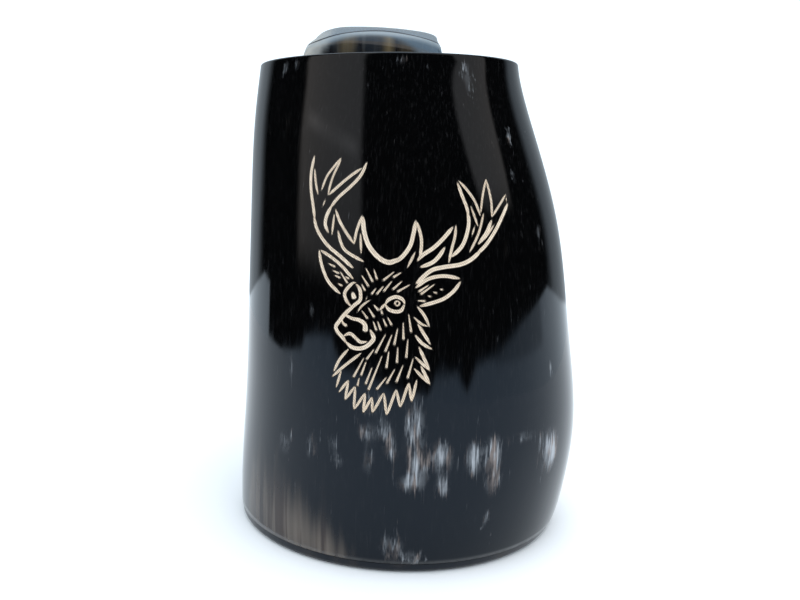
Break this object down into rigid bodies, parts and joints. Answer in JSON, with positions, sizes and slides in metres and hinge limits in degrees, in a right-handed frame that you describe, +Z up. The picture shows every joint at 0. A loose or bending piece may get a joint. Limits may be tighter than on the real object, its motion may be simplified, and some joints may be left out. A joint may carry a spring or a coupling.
{
  "type": "horn drinking mug",
  "caption": "Drinking mug made from a tapering section of ox horn, with a glued-in base plate and a wide heat-bent horn strip riveted to its back as a handle.",
  "frame": {"origin": "centre of the underside of the base plate, which is the face that the mug stands on", "axes": "+Z up from the base through the mouth; +Y from the mug towards its handle, so -Y is the engraved front; +X to the right of a person who faces the front"},
  "size_m": [0.1104, 0.1418, 0.1651],
  "materials": {
    "horn": "polished black horn, marbled bluish white and brown towards the foot",
    "base": "polished black horn plate",
    "sealant": "dark resin",
    "handle_horn": "polished grey translucent horn with brown streaks",
    "brass": "hand-peened, slightly tarnished"
  },
  "bodies": {
    "root": {"horn_body": "horn", "base_plate": "base", "seal_bead": "sealant", "handle": "handle_horn", "top_rivet_left": "brass", "top_rivet_right": "brass", "bottom_rivet_upper": "brass", "bottom_rivet_lower": "brass", "top_rove_left": "brass", "top_rove_right": "brass", "bottom_rove_upper": "brass", "bottom_rove_lower": "brass"}
  },
  "joints": []
}
